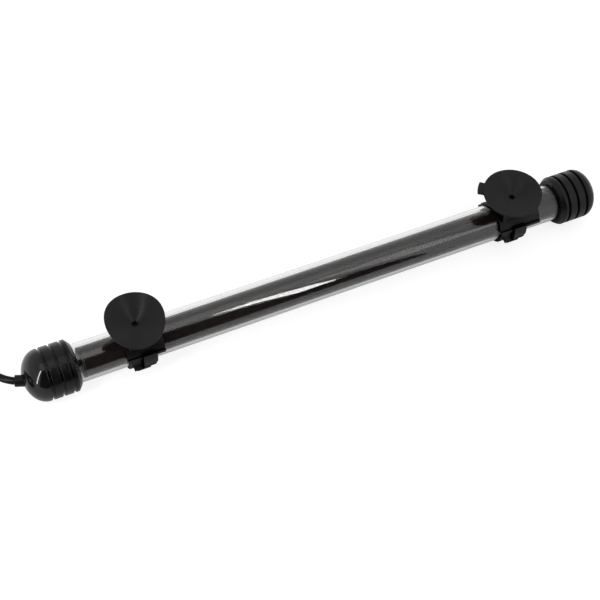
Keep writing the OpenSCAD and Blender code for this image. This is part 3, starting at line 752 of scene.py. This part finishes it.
    def floor(self) -> None:
        """Lays the pale floor, which takes the object's shadow."""
        material = bpy.data.materials.new("pale_floor")
        tree = Tree(material)
        matt = tree.add("BsdfDiffuse")
        matt.inputs["Color"].default_value = (*self.floor_colour, 1.0)
        glow = tree.add("Emission")
        level = tree.add("Math", operation="MULTIPLY")
        level.inputs[1].default_value = self.floor_glow
        tree.join(self.seen_share(tree), level.inputs[0])
        tree.join(level.outputs[0], glow.inputs["Strength"])
        both = tree.add("AddShader")
        tree.join(matt.outputs[0], both.inputs[0])
        tree.join(glow.outputs[0], both.inputs[1])
        tree.join(both.outputs[0], tree.add("OutputMaterial").inputs["Surface"])
        h, z = self.floor_half, -self.floor_drop
        self.plate("floor", [(-h, -h, z), (h, -h, z), (h, h, z), (-h, h, z)], material)

    def flag(self, name: str, corners: list[Point]) -> None:
        """Stands a dark card beside the object, out of the picture, for its gloss to mirror.

        Args:
            name: Its name.
            corners: Its corners in order.
        """
        material = bpy.data.materials.get("dark_card") or bpy.data.materials.new("dark_card")
        tree = Tree(material)
        matt = tree.add("BsdfDiffuse")
        matt.inputs["Color"].default_value = (*self.card_colour, 1.0)
        tree.join(matt.outputs[0], tree.add("OutputMaterial").inputs["Surface"])
        card = self.plate(name, corners, material)
        card.visible_camera = False
        card.visible_shadow = False

    def hang(self, strip: StripLight) -> None:
        """Hangs a strip light.

        Args:
            strip: Its place, size and power.
        """
        data = bpy.data.lights.new(strip.name, "AREA")
        data.shape = "RECTANGLE"
        data.energy = strip.watts
        first, last = Vector(strip.start), Vector(strip.end)
        data.size, data.size_y = (last - first).length, strip.width
        middle = (first + last) / 2
        along = (last - first).normalized()
        back = middle - Vector(strip.aim)
        back = (back - along * back.dot(along)).normalized()
        axes = Matrix((along, back.cross(along), back)).transposed()
        made = bpy.data.objects.new(strip.name, data)
        made.matrix_world = Matrix.Translation(middle) @ axes.to_4x4()
        made.visible_camera = False
        bpy.context.scene.collection.objects.link(made)

    def build(self) -> None:
        """Sets up the view transform, the camera, the floor and the light."""
        bpy.context.scene.view_settings.view_transform = "Standard"
        self.camera()
        self.world()
        self.floor()
        for strip in STRIP_LIGHTS:
            self.hang(strip)
        for name, corners in DARK_CARDS.items():
            self.flag(name, corners)
        LOG.info("studio is set")


@dataclass
class MainsLead:
    """The lead from the gland to the plug: a loose length, a tied hank and a short tail.

    Attributes:
        tip: Where the lead's route is measured from, along X.
        radius: Half the lead's thickness.
        length: The lead's real length; not used.
        lead_route: Millimetre points from the gland to the hank.
        tail_route: Millimetre points from the hank to the plug.
        runs: Straight runs in the hank.
        step: Distance from loop to loop in millimetres.
        waist: How far the tie draws the hank in, in millimetres.
        straight: Straight length at the hank's two ends, in millimetres.
        run_points: Points along a run.
        fold_points: Points along a fold.
        roundness: How finely the lead is rounded.
        collar_edge: Width of the gland's eased edges.
        tie_edge: Width of the tie's.
        plug_edge: Width of the plug's.
        pin_edge: Width of the pins'.
        bare_from: Where the insulated part of the plug's pins ends along X.
        bare_margin: How far inside that end a face still counts as bare.
    """

    tip: float = -231.4
    radius: float = 2.7 * MM
    length: float = 1.49
    lead_route: list[Point] = field(default_factory=lambda: [
        (-5, 2.5, 19), (-8, 4.2, 19), (-11, 6.6, 18.8), (-13.5, 9.4, 18.4), (-16, 12.4, 17.7),
        (-19, 15.4, 16.6), (-22.5, 18.2, 15.1), (-26.5, 20.8, 13.1), (-30.5, 23, 10.8),
        (-34.5, 25, 8.5),
        (-38.5, 26.6, 6.5), (-42.5, 27.9, 5), (-46.5, 28.8, 4.1), (-50.5, 29.3, 3.7),
        (-54.5, 29.5, 3.6), (-58, 29.5, 3.6),
    ])
    tail_route: list[Point] = field(default_factory=lambda: [
        (-156, 29.5, 9.7), (-158, 29.5, 9.7), (-162, 29, 9.9), (-166.5, 27.2, 10.6),
        (-170.3, 24.2, 11.8),
        (-173.2, 20.1, 13.4), (-174.7, 15.3, 15.2), (-174.8, 10.2, 16.8), (-173.4, 5.3, 18),
        (-170.7, 1.1, 18.9), (-166.8, -2.1, 19.6), (-162.4, -3.9, 20), (-158, -4.5, 20.2),
        (-154.5, -4.5, 20.2), (-151, -4.5, 20.2),
    ])
    runs: int = 9
    step: float = 6.2
    waist: float = 8.0
    straight: float = 6.0
    run_points: int = 14
    fold_points: int = 12
    roundness: int = 5
    collar_edge: float = 0.5 * MM
    tie_edge: float = 0.25 * MM
    plug_edge: float = 0.8 * MM
    pin_edge: float = 0.15 * MM
    bare_from: float = -326.4 * MM
    bare_margin: float = 0.5 * MM

    def spiral(self, turn: float) -> float:
        """Gives the hank's half width, in millimetres, after a number of turns."""
        middle = (self.runs - 1) / 4 + 1 / 8
        inner = self.lead_route[-1][1] - self.step * middle
        return inner + self.step * abs(turn - middle)

    def layer(self, run: int, share: float) -> float:
        """Gives the height of the lead's middle, in millimetres.

        Args:
            run: The run's number.
            share: How far along it.

        Returns:
            The lower layer's height, the upper one's, or one on the climb between them.
        """
        low, high = self.lead_route[-1][2], self.tail_route[0][2]
        climb = (self.runs - 1) // 2
        if run != climb:
            return low if run < climb else high
        return low + (high - low) * share * share * (3 - 2 * share)

    def hank(self) -> list[Point]:
        """Lays the hank's runs and folds.

        Returns:
            Its points in millimetres, from the lead's end to the tail's start.
        """
        near = self.lead_route[-1][0] - self.straight
        far = self.tail_route[0][0] + self.straight
        points: list[Point] = []
        for run in range(self.runs):
            sign = 1 if run % 2 == 0 else -1
            begin, end = (near, far) if sign > 0 else (far, near)
            for i in range(self.run_points + 1):
                s = i / self.run_points
                half = self.spiral(run / 2 + s / 4) - self.waist * math.sin(math.pi * s) ** 2
                points.append((begin + (end - begin) * s, sign * half, self.layer(run, s)))
            if run == self.runs - 1:
                break
            for i in range(1, self.fold_points):
                s = i / self.fold_points
                half = self.spiral(run / 2 + 1 / 4 + s / 4)
                a = sign * math.pi / 2 + math.pi * s
                points.append((end + half * math.cos(a), half * math.sin(a), self.layer(run, 1.0)))
        return points

    def path(self) -> list[Point]:
        """Joins the lead, the hank and the tail.

        Returns:
            The whole centre line in metres.
        """
        line = self.lead_route + self.hank() + self.tail_route
        return [((self.tip + x) * MM, y * MM, z * MM) for x, y, z in line]

    def build(self) -> None:
        """Makes the lead and dresses its gland, tie and plug."""
        line = self.path()
        data = bpy.data.curves.new("mains_lead", "CURVE")
        data.dimensions = "3D"
        data.bevel_depth = self.radius
        data.bevel_resolution = self.roundness
        data.use_fill_caps = True
        spline = data.splines.new("POLY")
        spline.points.add(len(line) - 1)
        for place, p in zip(spline.points, line):
            place.co = (*p, 1.0)
        spline.use_smooth = True
        lead = bpy.data.objects.new("mains_lead", data)
        bpy.context.scene.collection.objects.link(lead)
        settle(lead, "heater", SHEATH, ("cord_lead", "cord_hank", "cord_tail"))
        collar = eased("cable_gland", "lead_collar", self.collar_edge)
        gland = settle(collar, "heater", SEAL, ("cable_gland",))
        tie = settle(eased("cord_tie", "hank_tie", self.tie_edge), "heater", TIE, ("cord_tie",))
        moulding = eased("plug_body", "plug_moulding", self.plug_edge)
        body = settle(moulding, "heater", PLUG, ("plug_body",))
        prongs = eased("plug_pins", "plug_prongs", self.pin_edge)
        pins = settle(prongs, "heater", NICKEL, ("plug_pins",))
        pins.data.materials.append(PLUG.material())
        for face in pins.data.polygons:
            face.material_index = 1 if face.center.x < self.bare_from - self.bare_margin else 0


@dataclass
class TubeBody:
    """The clear tube with the dark sleeve in it, and what closes both.

    Attributes:
        axis_height: Height of the tube's axis.
        middle: Where the tube's middle lies along X.
        length: The glass tube's length.
        radius: Its outside radius.
        wall: Its wall.
        sleeve_radius: The sleeve's outside radius.
        sleeve_wall: The sleeve's wall.
        sleeve_from: The sleeve's end towards the lead.
        sleeve_to: The sleeve's other end.
        sleeve_play: How far the sleeve lies off the tube's axis, towards the front.
        glass_lip: Rounding at the glass tube's ends.
        sleeve_lip: Rounding at the sleeve's ends.
        plug_edge: Width of the sleeve plugs' eased edges.
        segments: Segments round the tube.
        ring_step: The longest distance between two rings along it.
        sharp: The angle, in degrees, above which an edge is a hard one.
    """

    axis_height: float = 19 * MM
    middle: float = 1.4 * MM
    length: float = 422 * MM
    radius: float = 14 * MM
    wall: float = 1.6 * MM
    sleeve_radius: float = 11 * MM
    sleeve_wall: float = 0.8 * MM
    sleeve_from: float = -188.6 * MM
    sleeve_to: float = 198.4 * MM
    sleeve_play: float = 0.65 * MM
    glass_lip: float = 0.7 * MM
    sleeve_lip: float = 0.3 * MM
    plug_edge: float = 0.3 * MM
    segments: int = 192
    ring_step: float = 20 * MM
    sharp: float = 40.0

    def pipe(
        self, name: str, start: float, end: float, outer: float, inner: float, lip: float,
    ) -> bpy.types.Object:
        """Makes a tube with rounded ends along X.

        Args:
            name: Its name.
            start: One end.
            end: The other end.
            outer: Outside radius.
            inner: Inside radius.
            lip: Rounding at its ends.

        Returns:
            The tube, in place.
        """
        length = end - start
        middle = (outer + inner) / 2
        corners = [(middle, 0.0), (outer, 0.0), (outer, length), (inner, length), (inner, 0.0)]
        outline = rounded(corners + corners[:1], [0.0, lip, lip, lip, lip, 0.0])[:-1]
        made = lathe(name, outline, self.segments, self.ring_step)
        soften(made, self.sharp)
        along_tube(made, start, self.axis_height, 1)
        return made

    def build(self) -> None:
        """Makes the glass and the sleeve, and dresses the seals and plugs."""
        half = self.length / 2
        glass = self.pipe(
            "clear_tube", self.middle - half, self.middle + half, self.radius,
            self.radius - self.wall, self.glass_lip,
        )
        settle(glass, "heater", GLASS, ("glass_tube",))
        glass.visible_shadow = False
        sleeve = self.pipe(
            "dark_sleeve", self.sleeve_from, self.sleeve_to, self.sleeve_radius,
            self.sleeve_radius - self.sleeve_wall, self.sleeve_lip,
        )
        play = Matrix.Translation((0.0, -self.sleeve_play, 0.0))
        sleeve.matrix_world = play @ sleeve.matrix_world
        settle(sleeve, "heater", SLEEVE, ("inner_sleeve",))
        for end in ("cable", "closed"):
            plug = eased(f"sleeve_plug_{end}", f"sleeve_end_{end}", self.plug_edge)
            plug.matrix_world = play
            settle(plug, "heater", SLEEVE_PLUG, (f"sleeve_plug_{end}",))
            dress(f"o_ring_{end}", SEAL)
            dress(f"bung_{end}", SEAL)


@dataclass
class Element:
    """What works inside the sleeve: the heating core, its wiring and the thermostat.

    Attributes:
        finishes: The finish of each node.
    """

    finishes: dict[str, Finish] = field(default_factory=lambda: {
        "ceramic_core": CERAMIC,
        "heating_coil": COIL_WIRE,
        "core_spacer_cable": CERAMIC,
        "core_spacer_closed": CERAMIC,
        "end_link": BRASS,
        "return_wire": INSULATION,
        "thermostat_base": LAMINATE,
        "bimetal_blade": BIMETAL,
        "contact_strip": BRASS,
        "contact_screw": STEEL,
        "thermal_fuse": BIMETAL,
        "lead_wires": INSULATION,
    })

    def build(self) -> None:
        """Dresses each piece."""
        for node, finish in self.finishes.items():
            dress(node, finish)


@dataclass
class EndCap:
    """A turned end cap: chamfered mouth, grip grooves, dome, and the tube's seat inside.

    Attributes:
        node: The CAD node that it stands for.
        name: The piece's name.
        mouth: Where its mouth lies along X.
        outward: 1 at the closed end, -1 at the lead's end.
        dome: Height of the dome.
        finish: Its finish.
        grip: The finish of its grip bands.
        radius: Outside radius.
        mouth_radius: Outside radius at the mouth.
        chamfer: Length of the chamfer.
        band: Length from the mouth to the dome.
        grooves: Middle of each groove, from the mouth.
        groove_half: Half a groove's width.
        groove_depth: A groove's depth.
        seat: Radius of the tube's seat.
        shoulder: Depth of that seat.
        room_radius: Radius of the dry room behind it.
        room_end: Depth of the dry room.
        seat_edge: Rounding of the seat's mouth.
        mouth_edge: Rounding of the mouth's outside.
        chamfer_edge: Rounding where the chamfer ends.
        groove_edge: Rounding at a groove's top and at its bottom.
        dome_steps: Steps from the dome's foot to its top.
        segments: Segments round the cap.
        ring_step: The longest distance between two rings along it.
        sharp: The angle, in degrees, above which an edge is a hard one.
    """

    node: str
    name: str
    mouth: float
    outward: int
    dome: float
    finish: Finish
    grip: Finish
    radius: float = 19 * MM
    mouth_radius: float = 15.5 * MM
    chamfer: float = 3 * MM
    band: float = 23.4 * MM
    grooves: tuple[float, ...] = (6.2 * MM, 14.0 * MM, 21.8 * MM)
    groove_half: float = 1.0 * MM
    groove_depth: float = 1.6 * MM
    seat: float = 14.05 * MM
    shoulder: float = 18 * MM
    room_radius: float = 11 * MM
    room_end: float = 27 * MM
    seat_edge: float = 0.3 * MM
    mouth_edge: float = 0.4 * MM
    chamfer_edge: float = 0.8 * MM
    groove_edge: tuple[float, float] = (0.35 * MM, 0.25 * MM)
    dome_steps: int = 30
    segments: int = 160
    ring_step: float = 10 * MM
    sharp: float = 35.0

    def outline(self) -> Outline:
        """Draws the cap's section.

        Returns:
            (radius, height) points from the seat's mouth over the outside to the dry room.
        """
        corners: Outline = [(self.seat, self.shoulder), (self.seat, 0.0), (self.mouth_radius, 0.0)]
        radii = [0.0, self.seat_edge, self.mouth_edge]
        corners.append((self.radius, self.chamfer))
        radii.append(self.chamfer_edge)
        floor = self.radius - self.groove_depth
        top, bottom = self.groove_edge
        for g in self.grooves:
            low, high = g - self.groove_half, g + self.groove_half
            corners += [(self.radius, low), (floor, low), (floor, high), (self.radius, high)]
            radii += [top, bottom, bottom, top]
        for step in range(self.dome_steps):
            a = math.pi / 2 * step / self.dome_steps
            corners.append((self.radius * math.cos(a), self.band + self.dome * math.sin(a)))
            radii.append(0.0)
        skin = rounded(corners + [(0.0, self.band + self.dome)], radii + [0.0])
        room = [(0.0, self.room_end), (self.room_radius, self.room_end)]
        return skin + room + [(self.room_radius, self.shoulder)]

    def build(self, axis_height: float) -> None:
        """Makes the cap.

        Args:
            axis_height: Height of the tube's axis.
        """
        cap = lathe(self.name, self.outline(), self.segments, self.ring_step)
        soften(cap, self.sharp)
        along_tube(cap, self.mouth, axis_height, self.outward)
        settle(cap, "heater", self.finish, (self.node,))
        cap.data.materials.append(self.grip.material())
        for face in cap.data.polygons:
            face.material_index = 1 if face.center.z < self.band else 0


@dataclass
class TubeClip:
    """A two-piece clip on the tube: saddle, hinged jaw and hinge pin.

    Attributes:
        side: Which clip it is.
        edge: Width of its eased edges.
    """

    side: Side
    edge: float = 0.22 * MM

    def build(self) -> None:
        """Eases and dresses the clip's three pieces."""
        end = self.side.value
        saddle = eased(f"{end}_saddle", f"{end}_clip_saddle", self.edge)
        settle(saddle, f"{end}_clip", CLIP, (f"{end}_saddle",))
        jaw = eased(f"{end}_jaw", f"{end}_clip_jaw", self.edge)
        settle(jaw, f"{end}_clip_jaw", CLIP, (f"{end}_jaw",))
        dress(f"{end}_hinge_pin", STEEL)


@dataclass
class SuctionCup:
    """A moulded suction cup on its swivelling button.

    Attributes:
        side: Which cup it is.
        x: Where its axis lies along X.
        axis_height: Height of the tube's axis.
        rim_radius: Radius of the rim.
        rise: Height of the rim over the tube's axis.
        hollow: Depth of the hollow.
        rim_thick: Thickness of the rim.
        rim_land: Width of the rim's flat.
        button: Radius of the button, and the heights of its two faces over the tube's axis.
        neck: Radius of the neck over the button, and the height of its end.
        hub: Radius of the hub that carries the skirt.
        hub_depth: How far under the hollow's bottom the skirt leaves the hub.
        flare: Radius of the skirt's foot, and how far under the hollow's bottom it lies.
        hole: Radius and depth of the middle hole.
        lift: How far the soft rim stands over its height.
        lean: Slope of the rim along X and along Y.
        bend: Height of the rim's two-way bend along X, and along the diagonal.
        tab_angle: Direction of the pull tab in degrees, or None without one.
        tab_reach: Reach of the tab from the axis.
        tab_half: Half the tab's width.
        tab_thick: The tab's thickness.
        tab_root: How far inside the rim the tab starts.
        tab_corner: Rounding of the tab's corners.
        tab_edge: Rounding of its edges.
        tab_steps: Steps across half of its end.
        tab_fold: The angle, in radians, above which its edges are rounded.
        segments: Segments round the cup.
        ring_step: The longest distance between two of its rings.
        sharp: The angle, in degrees, above which an edge is a hard one.
    """

    side: Side
    x: float
    axis_height: float = 19 * MM
    rim_radius: float = 22 * MM
    rise: float = 34.75 * MM
    hollow: float = 6.25 * MM
    rim_thick: float = 0.6 * MM
    rim_land: float = 0.8 * MM
    button: Point = (5.4 * MM, 16.7 * MM, 18.9 * MM)
    neck: tuple[float, float] = (3.45 * MM, 21.8 * MM)
    hub: float = 6.5 * MM
    hub_depth: float = 3.5 * MM
    flare: tuple[float, float] = (9.5 * MM, 0.9 * MM)
    hole: tuple[float, float] = (2.2 * MM, 4.5 * MM)
    lift: float = 0.0
    lean: tuple[float, float] = (0.0, 0.0)
    bend: tuple[float, float] = (0.0, 0.0)
    tab_angle: float | None = None
    tab_reach: float = 25.6 * MM
    tab_half: float = 5 * MM
    tab_thick: float = 2.8 * MM
    tab_root: float = 2.6 * MM
    tab_corner: float = 1.8 * MM
    tab_edge: float = 0.5 * MM
    tab_steps: int = 6
    tab_fold: float = 0.6
    segments: int = 144
    ring_step: float = 2.5 * MM
    sharp: float = 40.0

    def outline(self) -> Outline:
        """Draws the cup's section.

        Returns:
            (radius, height) points from the button's underside to the bottom of the middle hole.
        """
        bottom = self.rise - self.hollow
        button_radius, button_low, button_high = self.button
        neck_radius, neck_end = self.neck
        flare_radius, flare_drop = self.flare
        hole_radius, hole_depth = self.hole
        corners = [
            (0.0, button_low), (button_radius, button_low), (button_radius, button_high),
            (neck_radius, button_high), (neck_radius, neck_end), (self.hub, neck_end),
            (self.hub, bottom - self.hub_depth), (flare_radius, bottom - flare_drop),
            (self.rim_radius, self.rise - self.rim_thick), (self.rim_radius, self.rise),
            (self.rim_radius - self.rim_land, self.rise), (hole_radius, bottom),
            (hole_radius, bottom - hole_depth), (0.0, bottom - hole_depth),
        ]
        radii = [c * MM for c in (0, 0.5, 0.5, 0.3, 0.3, 0.6, 1.5, 3, 0.25, 0.25, 0.3, 0.5, 0.5, 0)]
        return rounded(corners, radii, 5)

    def tab(self, cup: bpy.types.Object) -> None:
        """Joins the pull tab to the cup's rim.

        Args:
            cup: The turned cup, at its own origin.
        """
        top = self.rise - self.rim_thick
        form = bmesh.new()
        root = self.rim_radius - self.tab_root
        sweep = math.asin(self.tab_half / self.tab_reach)
        turns = [sweep * (k / self.tab_steps - 1) for k in range(2 * self.tab_steps + 1)]
        end = [(self.tab_reach * math.cos(a), self.tab_reach * math.sin(a)) for a in turns]
        plan = [(root, -self.tab_half), *end, (root, self.tab_half)]
        low = [form.verts.new((x, y, top - self.tab_thick)) for x, y in plan]
        high = [form.verts.new((x, y, top)) for x, y in plan]
        form.faces.new(low[::-1])
        form.faces.new(high)
        for k in range(len(plan)):
            after = (k + 1) % len(plan)
            form.faces.new([low[k], low[after], high[after], high[k]])
        upright = [e for e in form.edges if abs(e.verts[0].co.z - e.verts[1].co.z) > MM]
        corner = [e for e in upright
                  if e.calc_face_angle() > self.tab_fold and e.verts[0].co.x > root + MM]
        bmesh.ops.bevel(
            form, geom=corner, offset=self.tab_corner, segments=4, affect="EDGES", profile=0.5,
        )
        outer = [e for e in form.edges if any(v.co.x > root + MM for v in e.verts)
                 and len(e.link_faces) == 2 and e.calc_face_angle() > self.tab_fold]
        bmesh.ops.bevel(
            form, geom=outer, offset=self.tab_edge, segments=3, affect="EDGES", profile=0.5,
        )
        turn = Matrix.Rotation(math.radians(self.tab_angle), 3, "Z")
        bmesh.ops.rotate(form, verts=form.verts, matrix=turn)
        bmesh.ops.recalc_face_normals(form, faces=form.faces)
        mesh = bpy.data.meshes.new("pull_tab")
        form.to_mesh(mesh)
        form.free()
        tab = bpy.data.objects.new("pull_tab", mesh)
        bpy.context.scene.collection.objects.link(tab)
        join = cup.modifiers.new("tab", "BOOLEAN")
        join.operation = "UNION"
        join.solver = "EXACT"
        join.object = tab
        whole = cup.evaluated_get(bpy.context.evaluated_depsgraph_get())
        joined = bpy.data.meshes.new_from_object(whole)
        cup.modifiers.clear()
        cup.data = joined
        bpy.data.objects.remove(tab)

    def flex(self, cup: bpy.types.Object) -> None:
        """Bends the soft skirt, more the nearer the rim, with its slant length kept.

        Args:
            cup: The cup, at its own origin.
        """
        skirt = self.rim_radius - self.hub
        slant = math.hypot(skirt, self.hollow)
        for v in cup.data.vertices:
            out = math.hypot(v.co.x, v.co.y)
            if out <= self.hub:
                continue
            share = min(1.0, (out - self.hub) / skirt)
            turn = math.atan2(v.co.y, v.co.x)
            slope = self.lean[0] * math.cos(turn) + self.lean[1] * math.sin(turn)
            rise = self.lift + self.rim_radius * slope
            rise += self.bend[0] * math.cos(2 * turn) + self.bend[1] * math.sin(2 * turn)
            reach = math.sqrt(slant ** 2 - (self.hollow + rise) ** 2) / skirt
            drawn = (self.hub + (out - self.hub) * (1 + (reach - 1) * share)) / out
            v.co.x, v.co.y = v.co.x * drawn, v.co.y * drawn
            v.co.z += rise * share ** 1.5

    def build(self) -> None:
        """Makes the cup and places it on its clip."""
        name = f"{self.side.value}_suction_cup"
        cup = lathe(name, self.outline(), self.segments, self.ring_step)
        if self.tab_angle is not None:
            self.tab(cup)
        self.flex(cup)
        soften(cup, self.sharp)
        cup.matrix_world = Matrix.Translation((self.x, 0.0, self.axis_height))
        settle(cup, name, CUP, (f"{self.side.value}_cup",))


def main() -> None:
    """Builds the studio, then each sub-assembly in order."""
    logging.basicConfig(level=logging.INFO, format="%(name)s: %(message)s")
    Studio().build()
    MainsLead().build()
    tube = TubeBody()
    tube.build()
    Element().build()
    EndCap(
        "cable_cap", "lead_end_cap", -193.6 * MM, -1, 14.4 * MM, CAP_GLOSS, CAP_GRIP,
    ).build(tube.axis_height)
    EndCap(
        "closed_cap", "closed_end_cap", 196.4 * MM, 1, 11.6 * MM, CAP_SATIN, CAP_SATIN,
        mouth_radius=17 * MM,
    ).build(tube.axis_height)
    TubeClip(Side.LEFT).build()
    TubeClip(Side.RIGHT).build()
    SuctionCup(
        Side.LEFT, -149.6 * MM, lift=0.45 * MM, lean=(0.035, 0.0), bend=(1.92 * MM, -0.52 * MM),
    ).build()
    SuctionCup(
        Side.RIGHT, 153.7 * MM, lift=-1.1 * MM, lean=(0.06, -0.085), bend=(0.3 * MM, -0.45 * MM),
        tab_angle=144.0,
    ).build()


if __name__ == "__main__":
    main()
